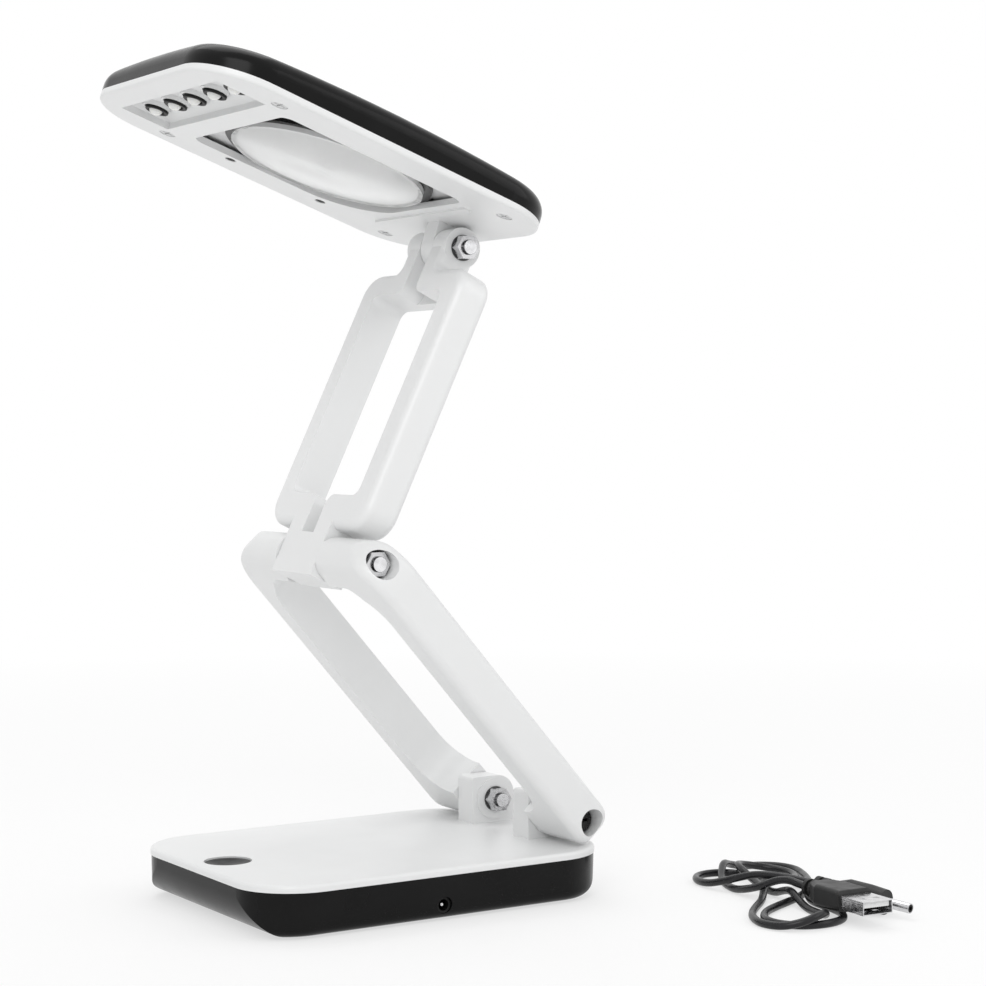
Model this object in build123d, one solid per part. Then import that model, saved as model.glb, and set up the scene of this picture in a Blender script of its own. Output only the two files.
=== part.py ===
from build123d import *
import os
from math import atan2, degrees, pi, radians, sqrt, tan

# Folding desk lamp with a magnifying lens in its head, and its charging lead.
# Millimetres. X runs along the base from the button to the hinge, Y across it,
# Z up. The table is at Z 0, and lamp_x puts the origin under the middle of the
# whole lamp, whose head reaches out past the base. A cut runs past the face it
# opens, and a joined piece past the face it joins.

lamp_x = 6.8
past = 1.0

# Base
base_length = 138.0
base_middle = 1.0
button_end = base_middle - base_length / 2
hinge_end = base_middle + base_length / 2
base_width = 107.0
base_corner = 22.0
foot_height = 0.8
foot_radius = 7.5
foot_button_x = button_end + 26.0
foot_hinge_x = hinge_end - 36.0
foot_y = base_width / 2 - 18.5
tub_top = 16.0
tub_wall = 2.0
tub_rim_inset = 0.3
tub_sole_inset = 3.0
tub_round = 4.0
tub_end_round = 12.0
tub_hinge_run = 19.0
tub_hinge_rise = 14.5
plate_thickness = 2.5
plate_edge_round = 1.2
skirt_depth = 2.0
skirt_wall = 1.6
slip = 0.15
post_end = 17.0
post_hinge_end = 25.0
post_y = base_width / 2 - 23.5
post_radius = 4.0
post_joint_height = 8.0

# Small screws
screw_radius = 1.4
screw_head_radius = 2.7
screw_head_height = 1.8
screw_sunk = 0.2
screw_bite = 4.0
slot_width = 0.7
slot_length = 4.0
slot_cut = 0.8

# Button and switch
button_x = button_end + 12.6
button_radius = 7.9
button_gap = 0.3
button_recess = 0.4
button_travel = 1.5
button_height = 3.3
button_crown = 0.5
button_dish = 0.6
button_dish_radius = 30.0
flange_radius = 8.7
flange_height = 1.0
flange_clear = 0.2
stem_radius = 2.2
stem_fit = 0.1
stem_spare = 0.6
stem_joint = 0.5
switch_side = 9.6
switch_height = 5.0
switch_floor = 0.9

# Electronics in the base
board_thickness = 1.6
board_standoff = 1.4
board_head_length = 18.0
board_head_width = 26.0
board_strip_start = button_end + post_end + 5.3
board_strip_end = 8.0
standoff_radius = 1.6
standoff_inset = 4.0
standoff_end_inset = 6.0
battery_length = 62.0
battery_width = 44.0
battery_height = 7.0
battery_round = 3.0
battery_gap = 3.85
battery_side = -8.0
jack_height = 5.6
jack_width = 8.0
jack_depth = 10.2
jack_body_height = 5.4
jack_back_wall = 1.5
jack_wall = 0.8
jack_bore_radius = 1.95
jack_pin_radius = 0.6
jack_recess = 0.9
jack_gap = 0.5
jack_pin_sunk = 1.0
jack_board_gap = 1.05

# Hinge line of the base, and the two links
hinge_x = hinge_end - 9.2
hinge_z = 27.2
lower_run = 81.4
lower_rise = 93.5
upper_run = 52.8
upper_rise = 108.2
lower_length = sqrt(lower_run ** 2 + lower_rise ** 2)
upper_length = sqrt(upper_run ** 2 + upper_rise ** 2)
middle_x = hinge_x - lower_run
middle_z = hinge_z + lower_rise
tilt_x = middle_x + upper_run
tilt_z = middle_z + upper_rise
running = 0.1
side_gap = 0.3

# Brackets on the base plate
bracket_inner = 13.8
bracket_outer = 24.0
bracket_front = 9.4
bracket_back = 8.6
bracket_rise = 8.4
bracket_front_round = 1.6
bracket_back_round = 7.0
pad_radius = 7.6
pad_height = 0.6

# Lower link
lower_half_width = 51.0
lower_half_window = 39.0
lower_half_depth = 7.8
lower_foot_round = 10.0
lower_top_round = 17.0
lower_bridge = 8.0
lower_window_round = 14.0
lower_foot_reach = 9.0
lower_edge_round = 3.5
barrel_radius = 4.4

# Upper link
upper_half_width = 34.5
upper_half_window = 24.0
upper_half_depth = 6.75
upper_start = 9.6
swing_reach = 25.0
upper_bridge_end = 21.5
upper_window_end = upper_length - 20.4
upper_shoulder = upper_length - 11.4
upper_outer_round = 9.0
upper_window_round = 3.5
upper_edge_round = 3.0
tongue_half_width = 14.4
tongue_reach = 8.4
tongue_notch_start = 7.0
neck_half_width = 13.2
neck_round = 3.0
slot_half_width = 4.3
slot_depth = 9.0
slot_flare = 4.0
knuckle_radius = 7.2

# Head, in its own frame: X from the tip to the heel, Z up from the face
head_length = 140.0
head_width = 107.0
head_corner = 22.5
head_heel = 13.2
head_offset = 8.2
head_tilt = 20.3
head_tip = head_length - head_heel
panel_thickness = 2.4
panel_edge_round = 1.0
cover_height = 12.4
cover_end_drop = 3.0
cover_side_drop = 1.9
cover_round = 6.6
cover_wall = 2.0
lug_half_width = 4.0
lug_clear = 0.1
opening_start = 17.3
opening_end = head_tip - 37.1
opening_round = 4.0
opening_full_round = 26.0
ridge_from_pivot = 12.5
ridge_half_length = 31.0
ridge_width = 3.0
ridge_height = 0.8
lens_from_pivot = (opening_start + opening_end) / 2 - 0.2
lens_radius = (opening_end - opening_start) / 2 - 1.5
opening_half_width = lens_radius + 0.9
sensor_radius = 2.0
sensor_tip_reach = 18.7
sensor_heel_reach = 19.7
sensor_side = 3.9
lens_face_gap = 0.8
lens_edge = 2.4
lens_bulge = 1.6
lens_fit = 0.1
bezel_wall = 2.6
bezel_lip = 1.7
tray_start = opening_end + 8.8
tray_end = head_tip - 9.8
tray_half_width = head_width / 2 - 15.5
tray_depth = 3.2
tray_wall = 1.2
tray_tip_slope = 2.0
tray_arm_slope = 5.0
tray_side_slope = 2.0
led_from_pivot = head_tip - 19.3
led_count = 5
led_pitch = (tray_half_width - 7.0) / 2
led_radius = 2.5
led_flange_radius = 2.9
led_flange_height = 0.6
led_height = 5.0
led_collar_radius = 5.0
led_collar_wall = 0.8
led_collar_height = 1.4
led_board_width = 13.0
led_board_thickness = 1.0
head_screw_heel = 3.5
head_screw_tip = tray_start - 2.4
head_screw_heel_y = head_width / 2 - 12.2
head_screw_tip_y = head_width / 2 - 10.0
head_screw_seat = 1.1
head_slot_cut = 0.6
boss_radius = 3.6

# Hinge fasteners
bolt_radius = 2.5
bolt_head_radius = 4.25
bolt_head_height = 3.0
bolt_cross = 5.2
bolt_cross_width = 1.0
bolt_cross_depth = 1.6
counterbore_radius = 4.9
counterbore_depth = 10.5
head_clear = 0.1
nut_across_flats = 8.0
nut_height = 3.6
nut_fit = 0.05
bolt_end = 1.2
washer_radius = 4.6
washer_height = 0.6

# Charging lead
lead_radius = 1.35
lead_centre_x = 121.7
lead_centre_y = -88.3
lead_turn = -32.2
lead_bend_share = 0.45
dc_relief_length = 9.0
dc_relief_radius = 2.4
dc_rib_radius = 3.1
dc_rib_count = 3
dc_rib_length = 1.8
dc_body_length = 20.0
dc_body_radius = 4.7
dc_shoulder_length = 5.0
dc_taper_length = 6.7
dc_front_radius = 4.3
dc_barrel_radius = 1.75
dc_barrel_length = 10.0
dc_barrel_wall = 0.35
dc_bore_radius = 0.75
dc_bore_depth = 8.0
usb_relief_length = 6.6
usb_relief_radius = 2.4
usb_rib_radius = 3.1
usb_rib_count = 2
usb_rib_length = 1.6
usb_body_length = 20.4
usb_shoulder_length = 6.4
usb_shoulder_half_width = 3.6
usb_half_width = 6.75
usb_thickness = 7.5
usb_edge_round = 1.6
usb_shell_width = 12.0
usb_shell_height = 4.5
usb_shell_length = 12.3
usb_shell_wall = 0.3
usb_window_width = 2.2
usb_window_length = 2.0
usb_window_side = 2.7
usb_window_end = 4.6
usb_tongue_height = 1.9
usb_tongue_gap = 0.6
usb_tongue_back = 0.8


def link_angle(x0, z0, x1, z1):
    return degrees(atan2(z1 - z0, x1 - x0))


lower_angle = link_angle(hinge_x, hinge_z, middle_x, middle_z)
upper_angle = link_angle(middle_x, middle_z, tilt_x, tilt_z)
plate_top = tub_top + plate_thickness
tub_floor = foot_height + tub_wall
panel_top = head_offset + panel_thickness
lens_top = head_offset + lens_face_gap + lens_edge

lower_place = Pos(hinge_x, 0, hinge_z) * Rot(0, -lower_angle, 0)
upper_place = Pos(middle_x, 0, middle_z) * Rot(0, -upper_angle, 0)
head_place = Pos(tilt_x, 0, tilt_z) * Rot(0, head_tilt, 0)


def box(x0, x1, y0, y1, z0, z1):
    block = Box(x1 - x0, y1 - y0, z1 - z0)
    return Pos((x0 + x1) / 2, (y0 + y1) / 2, (z0 + z1) / 2) * block


def post(radius, x, y, z0, z1):
    return Pos(x, y, (z0 + z1) / 2) * Cylinder(radius, z1 - z0)


def rod(radius, x, z, y0, y1):
    return Pos(x, (y0 + y1) / 2, z) * Rot(90, 0, 0) * Cylinder(radius, abs(y1 - y0))


def strip(x0, x1, half_width):
    return Pos((x0 + x1) / 2, 0) * Rectangle(x1 - x0, 2 * half_width)


def cross_slot(x, y, z1):
    long = slot_length / 2
    thin = slot_width / 2
    z0 = z1 - past
    cut = box(x - long, x + long, y - thin, y + thin, z0, z1)
    return cut + box(x - thin, x + thin, y - long, y + long, z0, z1)


def save(shape, node, colour):
    shape = Pos(lamp_x, 0, 0) * shape
    shape.label = node
    shape.color = Color(*colour)
    export_step(shape, f"parts/{node}.step")


# Base pieces

def side_inset(z):
    share = (tub_top - z) / (tub_top - foot_height)
    return tub_rim_inset + (tub_sole_inset - tub_rim_inset) * share


def base_plan(inset):
    plan = RectangleRounded(base_length - 2 * inset, base_width - 2 * inset, base_corner - inset)
    return Pos(base_middle, 0) * plan


def hull_plan(inset, z):
    length = base_length - 2 * (tub_rim_inset + inset)
    width = base_width - 2 * (side_inset(z) + inset)
    return Pos(base_middle, 0, z) * RectangleRounded(length, width, base_corner - side_inset(z) - inset)


def hinge_end_rake(inset, low):
    run = tub_hinge_run - inset
    rise = tub_hinge_rise - inset
    corner = Rectangle(run + past, rise + past, align=(Align.MIN, Align.MAX)) - Ellipse(run, rise)
    corner = Pos(hinge_end - tub_rim_inset - inset - run, low + rise) * corner
    return extrude(Plane.XZ * corner, base_width, both=True)


def boat(inset, low, high, bottom_round):
    hull = loft([hull_plan(inset, low).face(), hull_plan(inset, high).face()], ruled=True)
    hull = fillet(hull.edges().group_by(Axis.Z)[0], bottom_round)
    profile = Rectangle(base_length - 2 * (tub_rim_inset + inset), high - low)
    profile = Pos(base_middle, (low + high) / 2) * profile
    profile = fillet(profile.vertices().group_by(Axis.Y)[0], tub_end_round - inset)
    hull &= extrude(Plane.XZ * profile, base_width, both=True)
    return hull - hinge_end_rake(inset, low)


def side_angle():
    return degrees(atan2(tub_sole_inset - tub_rim_inset, tub_top - foot_height))


def floor_edge_inset():
    reach = (tub_round - tub_wall) / tan(radians(45 + side_angle() / 2))
    return side_inset(tub_floor) + tub_wall + reach


def base_post_places():
    return [(x, sy * post_y) for x in (button_end + post_end, hinge_end - post_hinge_end) for sy in (-1, 1)]


def base_tub():
    shell = boat(0, foot_height, tub_top, tub_round)
    shell -= boat(tub_wall, tub_floor, tub_top + past, tub_round - tub_wall)
    seat = foot_height + screw_sunk + screw_head_height
    for x, y in base_post_places():
        shell += post(post_radius, x, y, foot_height + tub_wall / 2, post_joint_height)
        shell -= post(screw_radius + slip, x, y, foot_height - past, post_joint_height + past)
        shell -= post(screw_head_radius + slip, x, y, foot_height - past, seat)
    window = jack_bore_radius + jack_wall + slip
    return shell - rod(window, 0, jack_height, -base_width / 2 - past, jack_front())


def plate_bracket(side):
    block = box(hinge_x - bracket_front, hinge_x + bracket_back, bracket_inner, bracket_outer,
                plate_top - plate_thickness / 2, hinge_z + bracket_rise)
    top_edges = block.edges().filter_by(Axis.Y).group_by(Axis.Z)[-1].sort_by(Axis.X)
    block = fillet(top_edges[-1], bracket_back_round)
    top_edges = block.edges().filter_by(Axis.Y).group_by(Axis.Z)[-1].sort_by(Axis.X)
    block = fillet(top_edges[0], bracket_front_round)
    block += rod(pad_radius, hinge_x, hinge_z, bracket_inner - pad_height, bracket_inner + past)
    block -= rod(bolt_radius + running, hinge_x, hinge_z, 0, bracket_outer + past)
    return block if side > 0 else mirror(block, Plane.XZ)


def base_top_plate():
    plate = Pos(0, 0, tub_top) * extrude(base_plan(0), plate_thickness)
    plate = fillet(plate.edges().group_by(Axis.Z)[-1], plate_edge_round)
    low = tub_top - skirt_depth
    reach = side_inset(low) + tub_wall + slip
    skirt = extrude(base_plan(reach), skirt_depth) - extrude(base_plan(reach + skirt_wall), skirt_depth)
    skirt = Pos(0, 0, low) * skirt
    skirt -= post(flange_radius + 2 * button_gap, button_x, 0, low - past, tub_top)
    plate += skirt
    for x, y in base_post_places():
        plate += post(post_radius, x, y, post_joint_height, tub_top)
        plate -= post(screw_radius + slip, x, y, post_joint_height - past,
                      post_joint_height + screw_bite + past)
    for side in (-1, 1):
        plate += plate_bracket(side)
    return plate - post(button_radius + button_gap, button_x, 0, tub_top - past, plate_top + past)


def foot_places():
    return [(x, sy * foot_y) for x in (foot_button_x, foot_hinge_x) for sy in (-1, 1)]


def foot_pad(x, y):
    return post(foot_radius, x, y, 0, foot_height)


def base_screw(x, y):
    low = foot_height + screw_sunk
    seat = low + screw_head_height
    screw = post(screw_head_radius, x, y, low, seat)
    screw += post(screw_radius, x, y, seat, post_joint_height + screw_bite)
    return screw - cross_slot(x, y, low + slot_cut)


# Button, switch and what the base holds

def switch_base():
    return tub_floor + board_standoff + board_thickness


def switch_bore_floor():
    return switch_base() + switch_floor


def power_button():
    top = plate_top - button_recess
    low = top - button_height
    cap = post(button_radius, button_x, 0, low, top)
    cap = fillet(cap.edges().group_by(Axis.Z)[-1], button_crown)
    cap -= Pos(button_x, 0, top + button_dish_radius - button_dish) * Sphere(button_dish_radius)
    flange_top = tub_top - flange_clear
    cap += post(flange_radius, button_x, 0, flange_top - flange_height, flange_top)
    stem_low = switch_bore_floor() + button_travel + stem_spare
    return cap + post(stem_radius, button_x, 0, stem_low, low + stem_joint)


def push_switch():
    half = switch_side / 2
    low = switch_base()
    switch = box(button_x - half, button_x + half, -half, half, low, low + switch_height)
    bore = post(stem_radius + stem_fit, button_x, 0, switch_bore_floor(), low + switch_height + past)
    return switch - bore


def board_strip_edge():
    return jack_front() + jack_depth + jack_board_gap


def circuit_board():
    low = tub_floor + board_standoff
    half = board_head_width / 2
    x0 = button_x - switch_side / 2
    board = box(x0, x0 + board_head_length, -half, half, low, low + board_thickness)
    edge = board_strip_edge()
    board += box(board_strip_start, board_strip_end, edge, -half, low, low + board_thickness)
    for x in (x0 + standoff_end_inset, x0 + board_head_length - standoff_inset):
        board += post(standoff_radius, x, half - standoff_inset, tub_floor, low)
    x = board_strip_end - standoff_inset
    return board + post(standoff_radius, x, edge + standoff_inset, tub_floor, low)


def battery():
    x0 = button_x - switch_side / 2 + board_head_length + battery_gap
    y1 = battery_side + battery_width
    cell = box(x0, x0 + battery_length, battery_side, y1, tub_floor, tub_floor + battery_height)
    return fillet(cell.edges().filter_by(Axis.X), battery_round)


def jack_front():
    return floor_edge_inset() + jack_gap - base_width / 2


def jack_mouth():
    return side_inset(jack_height) + jack_recess - base_width / 2


def dc_jack():
    front = jack_front()
    back = front + jack_depth
    half = jack_width / 2
    body = box(-half, half, front, back, tub_floor, tub_floor + jack_body_height)
    body += rod(jack_bore_radius + jack_wall, 0, jack_height, jack_mouth(), front)
    body -= rod(jack_bore_radius, 0, jack_height, jack_mouth() - past, back - jack_back_wall)
    return body + rod(jack_pin_radius, 0, jack_height, jack_mouth() + jack_pin_sunk, back - past)


# Links. The X of each runs along it from its lower pivot.

def side_slot(length, half_depth, reach):
    plan = Pos(length / 2, 0) * Rectangle(length, 2 * half_depth)
    plan += Circle(half_depth)
    plan += Pos(length, 0) * Circle(half_depth)
    return Rot(90, 0, 0) * extrude(plan, reach, both=True)


def soften_sides(arm, half_width, radius):
    edges = arm.edges().filter_by(Axis.X)
    return fillet(edges.filter_by(lambda e: abs(abs(e.center().Y) - half_width) < 0.01), radius)


def lower_plan():
    outline = strip(-lower_half_depth, lower_length + lower_half_depth, lower_half_width)
    outline = fillet(outline.vertices().group_by(Axis.X)[0], lower_foot_round)
    return fillet(outline.vertices().group_by(Axis.X)[-1], lower_top_round)


def lower_window():
    window = strip(lower_foot_reach, lower_length - lower_bridge, lower_half_window)
    window = fillet(window.vertices(), lower_window_round)
    return window + strip(-2 * lower_half_depth, 2 * lower_foot_reach, bracket_outer + side_gap)


def upper_swing():
    room = strip(upper_start - side_gap, swing_reach, upper_half_width + side_gap)
    room = fillet(room.vertices().group_by(Axis.X)[0], upper_outer_round + side_gap)
    return Pos(lower_length, 0, 0) * revolve(room, Axis.Y)


def lower_arm():
    arm = extrude(lower_plan(), lower_half_depth, both=True)
    arm -= extrude(lower_window(), 2 * lower_half_depth, both=True)
    arm &= side_slot(lower_length, lower_half_depth, 2 * lower_half_width)
    arm = soften_sides(arm, lower_half_width, lower_edge_round)
    notch = tongue_half_width + side_gap
    mouth = strip(lower_length - lower_bridge - past, lower_length + 2 * lower_half_depth, notch)
    arm -= extrude(mouth, 2 * lower_half_depth, both=True)
    arm -= upper_swing()
    arm += rod(barrel_radius, lower_length, 0, -notch, notch)
    bore = bolt_radius + running
    floor = lower_half_width - counterbore_depth
    for x in (0, lower_length):
        arm -= rod(bore, x, 0, -2 * lower_half_width, 2 * lower_half_width)
        for side in (-1, 1):
            arm -= rod(counterbore_radius, x, 0, side * floor, side * (lower_half_width + past))
    return lower_place * arm


def upper_plan():
    outline = strip(upper_start, upper_shoulder, upper_half_width)
    outline = fillet(outline.vertices(), upper_outer_round)
    outline += strip(upper_window_end, upper_length + upper_half_depth, neck_half_width)
    outline += strip(-2 * tongue_reach, upper_bridge_end, tongue_half_width)
    corners = outline.vertices().filter_by(
        lambda v: abs(v.X - upper_shoulder) < 0.01 and abs(abs(v.Y) - neck_half_width) < 0.01)
    return fillet(corners, neck_round)


def upper_window():
    window = strip(upper_bridge_end, upper_window_end, upper_half_window)
    return fillet(window.vertices(), upper_window_round)


def upper_grooves():
    cut = upper_window()
    cut += strip(tongue_notch_start, upper_bridge_end + past, slot_half_width)
    cut += strip(upper_window_end - past, upper_length + 2 * knuckle_radius, slot_half_width)
    mouths = cut.vertices().filter_by(
        lambda v: abs(abs(v.Y) - slot_half_width) < 0.01
        and upper_bridge_end - 0.1 < v.X < upper_window_end + 0.1)
    return fillet(mouths, slot_flare)


def upper_arm():
    depth = 2 * upper_half_depth
    arm = extrude(upper_plan(), upper_half_depth, both=True)
    arm -= extrude(upper_window(), depth, both=True)
    arm &= box(-tongue_reach, upper_length, -upper_half_width, upper_half_width,
               -upper_half_depth, upper_half_depth)
    arm = soften_sides(arm, upper_half_width, upper_edge_round)
    arm += rod(knuckle_radius, upper_length, 0, -neck_half_width, neck_half_width)
    arm -= Pos(0, 0, upper_half_depth - slot_depth) * extrude(upper_grooves(), depth + slot_depth)
    fork = strip(upper_length - knuckle_radius - slot_half_width, upper_length + 2 * knuckle_radius,
                 slot_half_width)
    arm -= extrude(fork, depth, both=True)
    arm -= rod(barrel_radius + running, 0, 0, -tongue_half_width - past, tongue_half_width + past)
    arm -= rod(bolt_radius + running, upper_length, 0, -2 * neck_half_width, 2 * neck_half_width)
    return upper_place * arm


# Head. Places on it are measured from the pivot towards the tip, which is -X.

def head_middle():
    return head_heel - head_length / 2


def head_plan(inset):
    plan = RectangleRounded(head_length - 2 * inset, head_width - 2 * inset, head_corner - inset)
    return Pos(head_middle(), 0) * plan


def sensor_places():
    y = opening_half_width + sensor_side
    return [(-lens_from_pivot - sensor_tip_reach, y), (sensor_heel_reach - lens_from_pivot, y)]


def head_screw_places():
    places = []
    for side in (-1, 1):
        places.append((-head_screw_heel, side * head_screw_heel_y))
        places.append((-head_screw_tip, side * head_screw_tip_y))
    return places


def opening_plan():
    plan = strip(-opening_end, -opening_start, opening_half_width)
    plan = fillet(plan.vertices(), opening_round)
    side = opening_full_round + past
    corner = Rectangle(side, side, align=(Align.MIN, Align.MIN)) - Circle(opening_full_round)
    return plan - Pos(-opening_start - opening_full_round, opening_half_width - opening_full_round) * corner


def head_panel():
    low = head_offset
    high = panel_top
    panel = Pos(0, 0, low) * extrude(head_plan(0), panel_thickness)
    panel = fillet(panel.edges().group_by(Axis.Z)[0], panel_edge_round)
    panel -= Pos(0, 0, low - past) * extrude(opening_plan(), panel_thickness + 2 * past)
    panel -= box(-tray_end, -tray_start, -tray_half_width, tray_half_width, low - past, high + past)
    ridge_x = -ridge_from_pivot
    panel += box(ridge_x - ridge_width / 2, ridge_x + ridge_width / 2, -ridge_half_length,
                 ridge_half_length, low - ridge_height, low + ridge_height)
    for x, y in sensor_places():
        panel -= post(sensor_radius, x, y, low - past, high + past)
    for x, y in head_screw_places():
        panel -= post(screw_radius + slip, x, y, low - past, high + past)
        panel -= post(screw_head_radius + slip, x, y, low - past, low + head_screw_seat)
    lug = knuckle_radius - lug_clear
    panel += box(-lug, lug, -lug_half_width, lug_half_width, 0, low + panel_thickness / 2)
    panel += rod(lug, 0, 0, -lug_half_width, lug_half_width)
    panel -= rod(bolt_radius + running, 0, 0, -2 * lug_half_width, 2 * lug_half_width)
    return head_place * panel


def cover_crown(inset, drop):
    end_curve = (head_length / 2) ** 2 / (2 * cover_end_drop)
    side_curve = (head_width / 2) ** 2 / (2 * cover_side_drop)
    half = head_width / 2 + past
    sag = half ** 2 / (2 * side_curve)
    arc = ThreePointArc((-half, end_curve - sag), (0, end_curve), (half, end_curve - sag))
    low = end_curve - 3 * cover_height
    sides = Polyline((half, end_curve - sag), (half, low), (-half, low), (-half, end_curve - sag))
    crown = revolve(Plane.YZ * make_face([arc, sides]), Axis.Y)
    crown = Pos(head_middle(), 0, panel_top + cover_height - drop - end_curve) * crown
    return crown & Pos(0, 0, panel_top) * extrude(head_plan(inset), 2 * cover_height)


def head_cover():
    cover = fillet(cover_crown(0, 0).edges().group_by(Axis.Z)[-1], cover_round)
    hollow = cover_crown(cover_wall, cover_wall)
    hollow = fillet(hollow.edges().group_by(Axis.Z)[-1], cover_round - cover_wall)
    roof = panel_top + 2 * cover_height
    lens_x = -lens_from_pivot
    bezel_bore = lens_radius + lens_fit
    hollow -= post(bezel_bore + bezel_wall, lens_x, 0, panel_top, roof)
    for x, y in head_screw_places():
        hollow -= post(boss_radius, x, y, panel_top, roof)
    cover -= hollow
    cover -= post(lens_radius - bezel_lip, lens_x, 0, panel_top - past, roof)
    cover -= post(bezel_bore, lens_x, 0, panel_top - past, lens_top)
    for x, y in head_screw_places():
        cover -= post(screw_radius + slip, x, y, panel_top - past, panel_top + screw_bite + past)
    return head_place * cover


def lens_cap(radius, bulge):
    sphere_radius = (radius ** 2 + bulge ** 2) / (2 * bulge)
    ball = Pos(0, 0, bulge - sphere_radius) * Sphere(sphere_radius)
    return ball & Pos(0, 0, bulge / 2) * Box(4 * radius, 4 * radius, bulge)


def magnifier_lens():
    lens = post(lens_radius, 0, 0, lens_top - lens_edge, lens_top)
    clear = lens_radius - bezel_lip - lens_fit
    lens += Pos(0, 0, lens_top) * lens_cap(clear, lens_bulge)
    lens += Pos(0, 0, lens_top - lens_edge) * Rot(180, 0, 0) * lens_cap(clear, lens_bulge)
    return head_place * Pos(-lens_from_pivot, 0, 0) * lens


def led_places():
    middle = (led_count - 1) / 2
    return [(i - middle) * led_pitch for i in range(led_count)]


def led_tray():
    deep = panel_top + tray_depth
    back = deep - tray_wall
    x0 = -tray_end
    x1 = -tray_start
    tray = box(x0 - tray_wall, x1 + tray_wall, -tray_half_width - tray_wall,
               tray_half_width + tray_wall, panel_top, deep)
    mouth = Pos(0, 0, panel_top) * strip(x0, x1, tray_half_width)
    inner = Pos(0, 0, back) * strip(x0 + tray_tip_slope, x1 - tray_arm_slope,
                                    tray_half_width - tray_side_slope)
    tray -= loft([mouth.face(), inner.face()], ruled=True)
    x = -led_from_pivot
    for y in led_places():
        tray += post(led_collar_radius, x, y, back - led_collar_height, deep)
        tray -= post(led_collar_radius - led_collar_wall, x, y, back - led_collar_height - past, back)
        tray -= post(led_radius + slip, x, y, panel_top - past, deep + past)
    return head_place * tray


def led_lamp(y):
    back = panel_top + tray_depth
    middle = back - led_height + led_radius
    x = -led_from_pivot
    lamp = post(led_radius, x, y, middle, back)
    lamp += Pos(x, y, middle) * Sphere(led_radius)
    lamp += post(led_flange_radius, x, y, back, back + led_flange_height)
    return head_place * lamp


def led_board():
    low = panel_top + tray_depth + led_flange_height
    half = led_board_width / 2
    board = box(-led_from_pivot - half, -led_from_pivot + half, -tray_half_width, tray_half_width,
                low, low + led_board_thickness)
    return head_place * board


def head_screw(x, y):
    seat = head_offset + head_screw_seat
    low = head_offset + screw_sunk
    screw = post(screw_head_radius, x, y, low, seat)
    screw += post(screw_radius, x, y, seat, panel_top + screw_bite)
    return head_place * (screw - cross_slot(x, y, low + head_slot_cut))


# Fasteners on a hinge line, along Y

def hinge_bolt(x, z, head_seat, nut_face):
    way = 1 if head_seat > nut_face else -1
    head_end = head_seat + way * bolt_head_height
    tip = nut_face - way * (washer_height + nut_height + bolt_end)
    bolt = rod(bolt_radius, x, z, tip, head_seat)
    bolt += rod(bolt_head_radius, x, z, head_seat, head_end)
    y0, y1 = sorted((head_end - way * bolt_cross_depth, head_end + way))
    long = bolt_cross / 2
    thin = bolt_cross_width / 2
    bolt -= box(x - long, x + long, y0, y1, z - thin, z + thin)
    return bolt - box(x - thin, x + thin, y0, y1, z - long, z + long)


def hinge_nut(x, z, face, way):
    start = face + way * washer_height
    plan = RegularPolygon(nut_across_flats / 2, 6, major_radius=False)
    middle = start + way * nut_height / 2
    nut = Pos(x, middle, z) * Rot(90, 0, 0) * extrude(plan, nut_height / 2, both=True)
    return nut - rod(bolt_radius + nut_fit, x, z, start - way, start + way * (nut_height + past))


def hinge_washer(x, z, face, way):
    washer = rod(washer_radius, x, z, face, face + way * washer_height)
    return washer - rod(bolt_radius + nut_fit, x, z, face - way, face + way * (washer_height + past))


def hinge_line(name, x, z, head_seat, nut_face):
    way = -1 if head_seat > nut_face else 1
    return {
        f"{name}_bolt": (hinge_bolt(x, z, head_seat, nut_face), "steel"),
        f"{name}_nut": (hinge_nut(x, z, nut_face, way), "steel"),
        f"{name}_washer": (hinge_washer(x, z, nut_face, way), "steel"),
    }


def hinge_fasteners():
    nodes = {}
    floor = lower_half_width - counterbore_depth
    boss = bracket_inner - pad_height
    for name, side in (("base_hinge_near", -1), ("base_hinge_far", 1)):
        nodes.update(hinge_line(name, hinge_x, hinge_z, side * (floor + head_clear), side * boss))
    nodes.update(hinge_line("middle_hinge", middle_x, middle_z, floor, -floor))
    nodes.update(hinge_line("tilt_hinge", tilt_x, tilt_z, neck_half_width, -neck_half_width))
    return nodes


# Charging lead, lying on the table beside the lamp. Its route is in its own
# plan, with a strand that crosses another lifted over it.

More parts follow.
